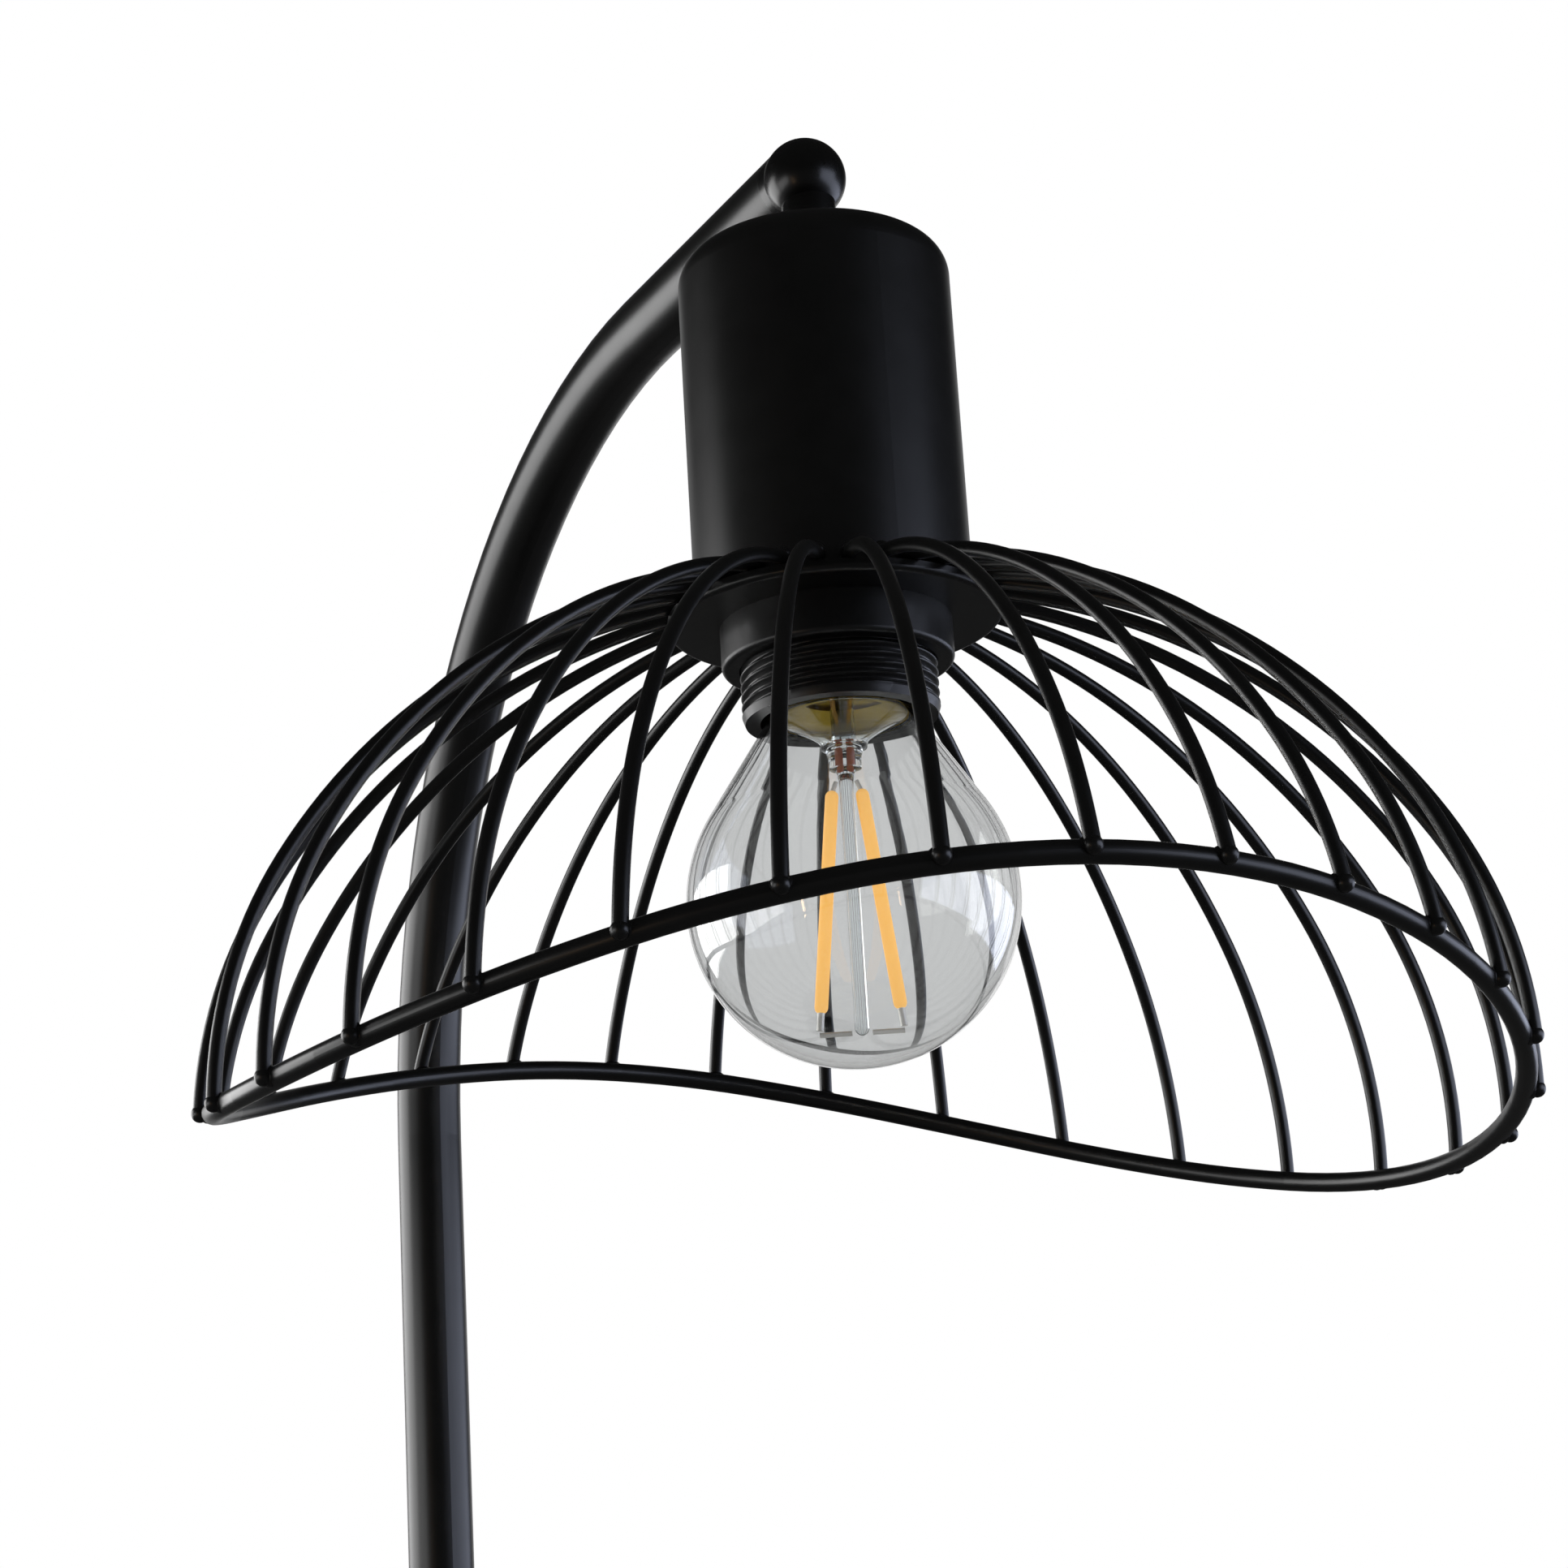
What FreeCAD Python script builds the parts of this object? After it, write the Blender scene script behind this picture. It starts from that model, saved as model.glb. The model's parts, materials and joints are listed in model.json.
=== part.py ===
"""Table lamp: a bent tube on a round base carries a cup, a lampholder, a small bulb and a wire shade.

Millimetres, +Z up. The origin is the middle of the base's underside, on the pole's axis, and the arm
reaches along +X. Head pieces are built about their own axis, from the seat of the cup on the shade's
disc, and then moved to the arm's end.
"""
import FreeCAD
import Part
import math
import os

V = FreeCAD.Vector
UP = V(0, 0, 1)
ALONG = V(1, 0, 0)
ORIGIN = V(0, 0, 0)

# Clearances
fit_gap = 0.05            # between pieces that are pressed, screwed or brazed together
lead_room = 0.6           # between the lead and the knuckle's upright bore
spigot_room = 0.9         # between the lead and the spigot's bore
rest_gap = 0.3            # between pieces that lie close without touching
weld_gap = 0.05           # between wires that are spot-welded

# Base
base_radius = 90.0
base_thickness = 6.0
base_edge_radius = 2.5
pad_radius = 86.0
pad_thickness = 1.5
screw_radius = 3.0        # M6
screw_length = 16.0
screw_head_radius = 5.2
screw_head_height = 3.0
screw_socket_radius = 2.0
screw_socket_depth = 1.8

# Pole and arm
tube_radius = 5.75
tube_wall = 1.0
arm_reach = 170.2         # pole's axis to the head's axis
arm_height = 448.0        # table to the arm's axis
bend_radius = 113.0
flange_radius = 9.0
flange_height = 3.0
spigot_length = 14.0
knuckle_radius = 6.1
knuckle_setback = 0.6     # ball's middle short of the head's axis
knuckle_drop = 0.3        # ball's middle below the arm's axis
collar_length = 4.0       # from the ball's middle back to the tube's end
throat_radius = 4.0       # between the ball and the boss
boss_radius = 6.0
boss_height = 4.4
grommet_height = 40.0     # table to the cord's inlet
grommet_flange_radius = 4.4
grommet_flange_reach = 2.5
grommet_neck_radius = 3.4
cord_radius = 2.6
lead_radius = 1.6
lead_bend_radius = 3.2

# Cup and what hangs it
head_drop = 69.0          # arm's axis to the cup's seat on the shade's disc
cup_radius = 19.85
cup_height = 56.0
cup_wall = 1.0
cup_edge_radius = 4.9
nipple_radius = 4.0       # M8 x 1
nipple_bore_radius = 2.7
nipple_engagement = 6.0   # in the lampholder
boss_engagement = 3.2     # in the knuckle's boss
washer_radius = 8.0
washer_thickness = 1.0
nut_width = 13.0          # across flats
nut_height = 4.0

# Lampholder
thread_radius = 14.0      # M28 outside thread of the skirt
skirt_length = 15.2       # below the cup's seat
skirt_chamfer_length = 1.2
skirt_mouth_wall = 2.1
skirt_wall = 2.5
flange_rim_radius = 16.5
flange_rim_height = 2.5
cap_radius = 15.5
cap_wall = 1.6
cap_height = 24.5         # flange to shoulder
cap_edge_radius = 4.0
neck_radius = 7.5
neck_height = 11.0
core_bottom = -8.0
core_top = 20.0
shell_wall = 0.4
shell_height = 17.0
chamber_radius = 7.1
chamber_top = 17.0
contact_width = 4.0
contact_thickness = 0.4
contact_reach = 2.5
contact_back = 5.0        # axis to the fixed end of the contact
contact_tab = 2.5
terminal_pitch = 18.6
terminal_radius = 1.5
terminal_length = 8.0
terminal_head_radius = 2.4
terminal_head_height = 1.8
terminal_slot = 0.8

# Shade
disc_radius = 23.8
disc_thickness = 1.1
disc_edge_radius = 0.8
disc_rim_height = 1.45    # raised rim round the cup
disc_seat_room = 0.25     # between the cup and the raised rim
ring_radius = 16.5
ring_height = 6.3
ring_edge_radius = 0.8
rib_count = 30
rib_radius = 1.0
rib_first_azimuth = 0.15  # degrees from the arm's direction
rib_drift = 1.9           # degrees that the ribs stray from even steps, once round
rib_drift_azimuth = 281.5
rib_bunching = 1.2        # degrees that they stray twice round
rib_bunching_azimuth = 332.6
rib_start = 20.5          # ribs begin beside the cup, on the disc's raised rim
rib_slope = 14.3          # degrees, of the ribs' straight ends and of the rim that they lie on
rib_straight_length = 6.4
rib_upper_radius = 88.0
rib_upper_length = 68.0
rib_lower_radius = 63.2
rib_sink = 0.8            # the ribs are pressed this far into the rim as they are welded
weld_radius = 1.2
rim_radius = 1.45
rim_drop = 63.8           # mean height of the ribs' ends under the cup's seat
rim_wave_height = 11.0    # two low and two high lobes a turn
rim_wave_azimuth = 87.9   # a low lobe
rim_lean_height = 5.8     # the rim hangs lower on one side
rim_lean_azimuth = 38.5
rim_points = 12           # two bends from each to the next

# Bulb, a small drop with a 14 mm screw cap
bulb_radius = 23.2
bulb_centre = -41.4
bulb_length = 78.0
bulb_wall = 0.8
neck_angle = 33.0         # slope of the glass from the ball to the cap
cap_screw_radius = 6.9
cap_screw_wall = 0.4
cap_skirt_length = 2.6
cap_length = 25.0
insulator_radius = 4.3
insulator_height = 2.4
tip_radius = 2.4
tip_height = 1.0
screw_clearance = 0.35    # cap to the lampholder's screw shell
stem_flare_length = 7.0
stem_wall = 0.7
stem_press_radius = 2.2   # where the flare is pressed shut round the wires
stem_press_length = 2.0
stem_tube_radius = 1.2    # exhaust tube, up into the cap
stem_tube_rise = 8.0
stem_radius = 1.0
stem_length = 45.2
filament_radius = 1.0
filament_length = 30.0
filament_azimuth = 61.7
filament_top = 11.2       # below the cap
filament_top_offset = 2.15
filament_bottom_offset = 5.4
tab_radius = 0.5          # metal tab at each filament's lower end
tab_length = 3.2
wire_radius = 0.35
wire_reach = 0.6          # the wires end this far past the filaments and tabs

# Places that follow from the sizes above
base_top = pad_thickness + base_thickness
tube_bore = tube_radius - tube_wall
pole_bottom = base_top + flange_height
bend_start = arm_height - bend_radius
disc_height = arm_height - head_drop
cup_bore = cup_radius - cup_wall
skirt_bore = thread_radius - skirt_wall
skirt_mouth_radius = skirt_bore + skirt_mouth_wall
core_radius = skirt_bore - fit_gap
shell_bore = cap_screw_radius + screw_clearance
shell_radius = shell_bore + shell_wall
shoulder_top = flange_rim_height + cap_height
neck_top = shoulder_top + neck_height
nipple_bottom = neck_top - nipple_engagement
nipple_top = cup_height + boss_engagement
knuckle_face = -knuckle_setback - collar_length
tip_top = bulb_centre - bulb_radius + bulb_length
glass_top = tip_top - tip_height - insulator_height - cap_length
neck_slope = math.radians(neck_angle)
rib_lean = math.radians(rib_slope)
disc_seat_radius = cup_radius + disc_seat_room
rib_height = (disc_rim_height - (rib_start - disc_seat_radius) * math.tan(rib_lean)
              + (rib_radius + weld_gap) / math.cos(rib_lean))
HEAD = V(arm_reach, 0, disc_height)


def cylinder(radius, height, base=ORIGIN, axis=UP):
    """A round bar from a base point along an axis."""
    return Part.makeCylinder(radius, height, base, axis)


def section(*pieces):
    """A closed face in the XZ plane: (x, z) points joined by lines, and (x, z, radius, from, to) arcs."""
    edges = []
    points = []

    def line_to(point):
        if points and points[-1].distanceToPoint(point) > 1e-6:
            edges.append(Part.makeLine(points[-1], point))
        points.append(point)

    for piece in pieces:
        if len(piece) == 2:
            line_to(V(piece[0], 0, piece[1]))
        else:
            x, z, radius, start, stop = piece
            ends = [math.radians(a) for a in (start, 0.5 * (start + stop), stop)]
            first, middle, last = [V(x + radius * math.cos(a), 0, z + radius * math.sin(a)) for a in ends]
            line_to(first)
            edges.append(Part.Arc(first, middle, last).toShape())
            points.append(last)
    line_to(points[0])
    return Part.Face(Part.Wire(edges))


def turned(*pieces):
    """A section turned about the Z axis."""
    return section(*pieces).revolve(ORIGIN, UP, 360)


def pipe(edges, radius, start, direction):
    """A round section swept along a chain of tangent edges."""
    profile = Part.Wire(Part.makeCircle(radius, start, direction))
    return Part.Wire(edges).makePipeShell([profile], True, False)


def at_head(shape):
    """Move a piece from the head's own axis to the end of the arm."""
    shape.translate(HEAD)
    return shape


def hexagon(width, height, bottom):
    """A hexagonal bar by its width across flats."""
    corner = width / math.sqrt(3)
    corners = [V(corner * math.cos(math.radians(60 * i)), corner * math.sin(math.radians(60 * i)), bottom)
               for i in range(7)]
    return Part.Face(Part.makePolygon(corners)).extrude(V(0, 0, height))


# Base and pole

def base_plate():
    """Round plate with a rounded upper edge, a screw hole and a recess for the screw's head."""
    r = base_edge_radius
    plate = turned((0, pad_thickness), (base_radius, pad_thickness),
                   (base_radius - r, base_top - r, r, 0, 90), (0, base_top))
    recess = cylinder(screw_head_radius + rest_gap, screw_head_height + rest_gap, V(0, 0, pad_thickness))
    hole = cylinder(screw_radius + fit_gap, base_thickness, V(0, 0, pad_thickness))
    return plate.cut(recess.fuse(hole))


def base_pad():
    """Flat pad glued under the plate, over the screw."""
    return cylinder(pad_radius, pad_thickness)


def base_screw():
    """Screw with a low round head and a hexagon socket."""
    seat = pad_thickness + screw_head_height + rest_gap
    head = cylinder(screw_head_radius, screw_head_height, V(0, 0, seat - screw_head_height))
    head = head.fuse(cylinder(screw_radius, screw_length, V(0, 0, seat)))
    return head.cut(hexagon(2 * screw_socket_radius, screw_socket_depth, seat - screw_head_height))


def foot_flange():
    """Turned foot: a flange on the plate, and a tapped spigot brazed in the pole."""
    spigot = tube_bore - fit_gap
    spigot_top = pole_bottom + spigot_length
    body = turned((0, base_top), (flange_radius, base_top), (flange_radius, base_top + flange_height),
                  (spigot, pole_bottom), (spigot, spigot_top), (0, spigot_top))
    seat = pad_thickness + screw_head_height + rest_gap
    return body.cut(cylinder(screw_radius + fit_gap, screw_length + rest_gap, V(0, 0, seat)))


def arm_path(start, straight_end, end_drop=0.0, end_radius=0.0):
    """Edges of the tube's centre line: up the pole, round the bend and along the arm, and down if asked."""
    bend_top = V(bend_radius, 0, arm_height)
    half = math.pi / 4
    middle = V(bend_radius * (1 - math.cos(half)), 0, bend_start + bend_radius * math.sin(half))
    edges = [Part.makeLine(V(0, 0, start), V(0, 0, bend_start)),
             Part.Arc(V(0, 0, bend_start), middle, bend_top).toShape(),
             Part.makeLine(bend_top, V(straight_end, 0, arm_height))]
    if end_radius:
        turn = V(straight_end, 0, arm_height - end_radius)
        knee = turn + end_radius * V(math.sin(math.pi / 4), 0, math.cos(math.pi / 4))
        foot = turn + V(end_radius, 0, 0)
        edges.append(Part.Arc(V(straight_end, 0, arm_height), knee, foot).toShape())
        edges.append(Part.makeLine(foot, V(foot.x, 0, end_drop)))
    return edges


def pole_tube():
    """One steel tube, upright and then bent over a quarter turn, with the cord's hole in its back."""
    path = arm_path(pole_bottom, arm_reach + knuckle_face)
    outside = pipe(path, tube_radius, V(0, 0, pole_bottom), UP)
    inside = pipe(path, tube_bore, V(0, 0, pole_bottom), UP)
    hole = cylinder(grommet_neck_radius + fit_gap, tube_radius, V(0, 0, grommet_height), -ALONG)
    return outside.cut(inside).cut(hole)


def cord_grommet():
    """Bush for the cord: a flange that follows the tube, a neck through its wall, and the cord's bore."""
    outer = -tube_radius - grommet_flange_reach
    inner = -tube_bore + tube_wall
    place = V(outer, 0, grommet_height)
    flange = cylinder(grommet_flange_radius, -outer, place, ALONG)
    pole = cylinder(tube_radius + fit_gap, 4 * grommet_flange_radius,
                    V(0, 0, grommet_height - 2 * grommet_flange_radius))
    neck = cylinder(grommet_neck_radius, inner - outer, place, ALONG)
    bore = cylinder(cord_radius, inner - outer, place, ALONG)
    return flange.cut(pole).fuse(neck).cut(bore)


def inner_lead():
    """Lead inside the tube: in at the grommet, up the pole, round the bend and down the nipple."""
    entry = grommet_height
    turn_centre = V(-lead_bend_radius, 0, entry + lead_bend_radius)
    start = V(-lead_bend_radius, 0, entry)
    middle = turn_centre + lead_bend_radius * V(math.sin(math.pi / 4), 0, -math.cos(math.pi / 4))
    top = V(0, 0, entry + lead_bend_radius)
    edges = [Part.Arc(start, middle, top).toShape()]
    end = disc_height + core_top + rest_gap
    edges += arm_path(top.z, arm_reach - lead_bend_radius, end, lead_bend_radius)
    return pipe(edges, lead_radius, start, ALONG)


def arm_knuckle():
    """Ball end of the arm: a collar and a spigot for the tube, a boss on the cup, and an elbow for the lead."""
    axis = head_drop
    middle = V(-knuckle_setback, 0, axis - knuckle_drop)
    ball = Part.makeSphere(knuckle_radius, middle, ALONG)
    collar = cylinder(tube_radius, collar_length, V(knuckle_face, 0, axis), ALONG)
    throat = cylinder(throat_radius, middle.z - cup_height, V(0, 0, cup_height))
    boss = cylinder(boss_radius, boss_height, V(0, 0, cup_height))
    back = V(knuckle_face - spigot_length, 0, axis)
    tube_room = cylinder(tube_radius + fit_gap, spigot_length, back, ALONG)
    spigot = cylinder(tube_bore - fit_gap, spigot_length, back, ALONG)
    body = ball.fuse([collar, throat, boss]).cut(tube_room).fuse(spigot)
    thread = cylinder(nipple_radius + fit_gap, boss_engagement + rest_gap, V(0, 0, cup_height))
    down = cylinder(lead_radius + lead_room, axis - cup_height, V(0, 0, cup_height))
    passage = spigot_length - knuckle_face + lead_radius + rest_gap
    along = cylinder(lead_radius + spigot_room, passage, back, ALONG)
    return at_head(body.cut(thread.fuse([down, along])).removeSplitter())


# Cup and lampholder

def hanger_nipple():
    """Hollow threaded rod that carries the cup and the lampholder."""
    rod = cylinder(nipple_radius, nipple_top - nipple_bottom, V(0, 0, nipple_bottom))
    length = nipple_top - nipple_bottom
    return at_head(rod.cut(cylinder(nipple_bore_radius, length, V(0, 0, nipple_bottom))))


def cup_washer():
    """Washer under the cup's ceiling."""
    bottom = cup_height - cup_wall - washer_thickness
    disc = cylinder(washer_radius, washer_thickness, V(0, 0, bottom))
    return at_head(disc.cut(cylinder(nipple_radius + fit_gap, washer_thickness, V(0, 0, bottom))))


def cup_nut():
    """Hexagon nut on the nipple, inside the cup."""
    bottom = cup_height - cup_wall - washer_thickness - nut_height
    nut = hexagon(nut_width, nut_height, bottom)
    return at_head(nut.cut(cylinder(nipple_radius + fit_gap, nut_height, V(0, 0, bottom))))


def holder_cup():
    """Drawn cup with a rounded upper edge, open at the bottom."""
    hole = nipple_radius + fit_gap
    outer = cup_edge_radius
    inner = cup_edge_radius - cup_wall
    shoulder = cup_radius - cup_edge_radius
    spring = cup_height - cup_edge_radius
    return at_head(turned((cup_bore, 0), (cup_radius, 0),
                          (shoulder, spring, outer, 0, 90), (hole, cup_height),
                          (hole, cup_height - cup_wall), (shoulder, spring, inner, 90, 0)))


def holder_cap():
    """Upper moulding of the lampholder: a round housing with a tapped neck."""
    inner = cap_radius - cap_wall
    spring = shoulder_top - cap_edge_radius
    shoulder = cap_radius - cap_edge_radius
    bore = nipple_radius + fit_gap
    return at_head(turned((inner, flange_rim_height), (cap_radius, flange_rim_height),
                          (shoulder, spring, cap_edge_radius, 0, 90), (neck_radius, shoulder_top),
                          (neck_radius, neck_top), (bore, neck_top), (bore, shoulder_top - cap_wall),
                          (shoulder, spring, cap_edge_radius - cap_wall, 90, 0)))


def holder_skirt():
    """Lower moulding of the lampholder: a flange on the disc and an open threaded barrel."""
    return at_head(turned((skirt_bore, -skirt_length), (skirt_mouth_radius, -skirt_length),
                          (thread_radius, skirt_chamfer_length - skirt_length), (thread_radius, 0),
                          (flange_rim_radius, 0), (flange_rim_radius, flange_rim_height),
                          (skirt_bore, flange_rim_height)))


def holder_core():
    """Insulating core with the seat of the screw shell and the chamber of the centre contact."""
    shell_top = core_bottom + shell_height
    seat = shell_radius + fit_gap
    core = turned((seat, core_bottom), (core_radius, core_bottom), (core_radius, core_top), (0, core_top),
                  (0, chamber_top), (chamber_radius, chamber_top), (chamber_radius, shell_top + fit_gap),
                  (seat, shell_top + fit_gap))
    depth = terminal_length + rest_gap
    holes = [cylinder(terminal_radius + fit_gap, depth, V(0, side * terminal_pitch / 2, core_top - depth))
             for side in (-1, 1)]
    return at_head(core.cut(holes))


def screw_shell():
    """Sleeve that the bulb's cap screws into."""
    sleeve = cylinder(shell_radius, shell_height, V(0, 0, core_bottom))
    return at_head(sleeve.cut(cylinder(shell_bore, shell_height, V(0, 0, core_bottom))))


def centre_contact():
    """Spring tongue: a tab under the chamber's ceiling, bent down to the tip of the bulb."""
    low = tip_top + rest_gap + contact_thickness
    line = [(-contact_back, chamber_top), (contact_tab - contact_back, chamber_top),
            (0, low), (contact_reach, low)]
    under = [(x, z - contact_thickness) for x, z in reversed(line)]
    strip = section(*line, *under).extrude(V(0, contact_width, 0))
    strip.translate(V(0, -contact_width / 2, 0))
    return at_head(strip)


def terminal_screws():
    """Two slotted screws on top of the core."""
    screws = []
    for side in (-1, 1):
        y = side * terminal_pitch / 2
        screw = cylinder(terminal_radius, terminal_length, V(0, y, core_top - terminal_length))
        screw = screw.fuse(cylinder(terminal_head_radius, terminal_head_height, V(0, y, core_top)))
        slot_bottom = core_top + terminal_head_height / 2
        slot = Part.makeBox(2 * terminal_head_radius, terminal_slot, terminal_head_height / 2,
                            V(-terminal_head_radius, y - terminal_slot / 2, slot_bottom))
        screws.append(screw.cut(slot))
    return at_head(Part.makeCompound(screws))


# Wire shade

def shade_disc():
    """Disc that the ribs are welded on: a raised sloping rim round the cup, and the lampholder's hole."""
    r = disc_edge_radius
    hole = thread_radius + fit_gap
    brow = disc_rim_height - (disc_radius - disc_seat_radius) * math.tan(rib_lean)
    return at_head(turned((hole, -disc_thickness), (disc_radius - r, r - disc_thickness, r, -90, 0),
                          (disc_radius, brow), (disc_seat_radius, disc_rim_height),
                          (disc_seat_radius, 0), (hole, 0)))


def shade_ring():
    """Ring on the skirt's thread, under the disc."""
    top = -disc_thickness
    r = ring_edge_radius
    bore = thread_radius + fit_gap
    return at_head(turned((bore, top), (bore, top - ring_height),
                          (ring_radius - r, top - ring_height + r, r, -90, 0), (ring_radius, top)))


def rib_azimuth(number):
    """Direction of one rib: even steps round the disc, with the drift of ribs that are set by eye."""
    even = 360.0 * number / rib_count
    drift = rib_drift * math.cos(math.radians(even - rib_drift_azimuth))
    bunching = rib_bunching * math.cos(math.radians(2 * (even - rib_bunching_azimuth)))
    return rib_first_azimuth + even + drift + bunching


def rib_side():
    """Centres, radii and angles of the rib's two arcs, in its own plane; angle 0 is the top of an arc."""
    bend = rib_lean + rib_upper_length / rib_upper_radius
    step = rib_upper_radius - rib_lower_radius
    x = rib_start + rib_straight_length * math.cos(rib_lean) - rib_upper_radius * math.sin(rib_lean)
    z = rib_height - rib_straight_length * math.sin(rib_lean) - rib_upper_radius * math.cos(rib_lean)
    upper = (x, z, rib_upper_radius, rib_lean, bend)
    lower = (x + step * math.sin(bend), z + step * math.cos(bend), rib_lower_radius, bend, None)
    return [upper, lower]


def on_arc(arc, angle):
    """Point of a rib's arc at an angle from its top."""
    return V(arc[0] + arc[2] * math.sin(angle), 0, arc[1] + arc[2] * math.cos(angle))


def rib_end_angle(azimuth):
    """Angle on the lower arc where the rib meets the rim, from the rim's wave and lean."""
    height = (-rim_drop - rim_wave_height * math.cos(math.radians(2 * (azimuth - rim_wave_azimuth)))
              - rim_lean_height * math.cos(math.radians(azimuth - rim_lean_azimuth)))
    lower = rib_side()[-1]
    return math.acos((height - lower[1]) / lower[2])


def rim_centre(azimuth):
    """Point of the rim's centre line: inside the rib's end, with the rib sunk into the rim."""
    angle = rib_end_angle(azimuth)
    inward = rim_radius + rib_radius - rib_sink
    end = on_arc(rib_side()[-1], angle) - inward * V(math.sin(angle), 0, math.cos(angle))
    turn = math.radians(azimuth)
    return V(end.x * math.cos(turn), end.x * math.sin(turn), end.z)


def rim_direction(azimuth):
    """Direction of the rim's centre line at an azimuth."""
    step = 0.05
    along = rim_centre(azimuth + step) - rim_centre(azimuth - step)
    return along.normalize()


def corners_between(start, start_way, end, end_way):
    """Corners of the two equal-legged tangent arcs that join two directed points in space."""
    chord, ways = end - start, start_way + end_way
    spread = 2 * (1 - start_way.dot(end_way))
    leg = (math.sqrt(chord.dot(ways) ** 2 + spread * chord.dot(chord)) - chord.dot(ways)) / spread
    first, second = start + leg * start_way, end - leg * end_way
    middle = 0.5 * (first + second)
    return (start, first, middle), (middle, second, end)


def wire_bend(radius, start, corner, end):
    """Round wire along the arc that rounds one corner."""
    into, out = corner - start, end - corner
    half = into.getAngle(out) / 2
    inward = 0.5 * (start + end) - corner
    centre = corner + into.Length / math.sin(half) * inward.normalize()
    disc = Part.Face(Part.Wire(Part.makeCircle(radius, start, into)))
    return disc.revolve(centre, into.cross(out), math.degrees(2 * half))


def rim_wire(radius):
    """Closed wire ring that follows the wavy ends of the ribs, as a chain of tangent bends."""
    stops = [360.0 * i / rim_points for i in range(rim_points + 1)]
    bends = []
    for a, b in zip(stops, stops[1:]):
        for corner in corners_between(rim_centre(a), rim_direction(a), rim_centre(b), rim_direction(b)):
            bends.append(wire_bend(radius, *corner))
    return bends[0].fuse(bends[1:]).Solids[0]


def shade_rib(azimuth, rim_room):
    """One rib: straight on the disc, down two arcs, and ending in a weld bead, coped to the rim."""
    start = V(rib_start, 0, rib_height)
    arcs = rib_side()
    arcs[-1] = arcs[-1][:4] + (rib_end_angle(azimuth),)
    edges = [Part.makeLine(start, on_arc(arcs[0], rib_lean))]
    for arc in arcs:
        stops = (arc[3], 0.5 * (arc[3] + arc[4]), arc[4])
        edges.append(Part.Arc(*[on_arc(arc, angle) for angle in stops]).toShape())
    rib = pipe(edges, rib_radius, start, V(math.cos(rib_lean), 0, -math.sin(rib_lean)))
    bead = Part.makeSphere(weld_radius, on_arc(arcs[-1], arcs[-1][4]))
    for shape in (rib, bead):
        shape.rotate(ORIGIN, UP, azimuth)
    return at_head(rib.fuse(bead).cut(rim_room))


# Bulb

def neck_radius_at_cap(ball_radius):
    """Radius at the cap of the cone that is tangent to a ball of this radius."""
    return (ball_radius - (glass_top - bulb_centre) * math.sin(neck_slope)) / math.cos(neck_slope)


def bulb_glass():
    """Hollow drop of glass, open where it is cemented to the cap."""
    inner = bulb_radius - bulb_wall
    return at_head(turned((neck_radius_at_cap(inner), glass_top),
                          (neck_radius_at_cap(bulb_radius), glass_top),
                          (0, bulb_centre, bulb_radius, neck_angle, -90),
                          (0, bulb_centre, inner, -90, neck_angle)))


def bulb_cap():
    """Screw cap of the bulb: a thin sleeve that flares to the glass."""
    wall = cap_screw_wall
    skirt = neck_radius_at_cap(bulb_radius)
    flare = glass_top + cap_skirt_length
    top = glass_top + cap_length
    return at_head(turned((skirt - wall, glass_top), (skirt, glass_top),
                          (cap_screw_radius, flare), (cap_screw_radius, top), (insulator_radius, top),
                          (insulator_radius, top - wall), (cap_screw_radius - wall, top - wall),
                          (cap_screw_radius - wall, flare)))


def cap_insulator():
    """Insulating cone between the cap and its tip."""
    bottom = glass_top + cap_length
    wide = cap_screw_radius - cap_screw_wall
    return at_head(turned((0, bottom), (wide, bottom), (insulator_radius, bottom + insulator_height),
                          (0, bottom + insulator_height)))


def tip_contact():
    """Solder button at the very top of the bulb."""
    bottom = tip_top - tip_height
    bulge = (tip_radius ** 2 + tip_height ** 2) / (2 * tip_height)
    half = math.degrees(math.asin(tip_radius / bulge))
    return at_head(turned((0, bottom), (0, tip_top - bulge, bulge, 90 - half, 90)))


def bulb_stem():
    """Glass stem: a thin flare in the neck, pressed round the wires, an exhaust tube and a long rod."""
    waist = glass_top - stem_flare_length
    bottom = glass_top - stem_length
    tube_top = glass_top + stem_tube_rise
    flare = neck_radius_at_cap(bulb_radius - bulb_wall) - fit_gap
    return at_head(turned((0, bottom), (stem_radius, bottom), (stem_radius, waist - stem_press_length),
                          (stem_press_radius, waist), (flare, glass_top), (flare - stem_wall, glass_top),
                          (stem_tube_radius, waist + stem_wall), (stem_tube_radius, tube_top), (0, tube_top)))


def filament_ends(side):
    """Upper and lower end of one filament."""
    turn = math.radians(filament_azimuth)
    out = side * V(math.cos(turn), math.sin(turn), 0)
    top = glass_top - filament_top
    drop = math.sqrt(filament_length ** 2 - (filament_bottom_offset - filament_top_offset) ** 2)
    return filament_top_offset * out + V(0, 0, top), filament_bottom_offset * out + V(0, 0, top - drop)


def led_filaments():
    """Two straight filaments that spread downwards."""
    bars = []
    for side in (-1, 1):
        top, bottom = filament_ends(side)
        bars.append(cylinder(filament_radius, filament_length, top, bottom - top))
    return at_head(Part.makeCompound(bars))


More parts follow.
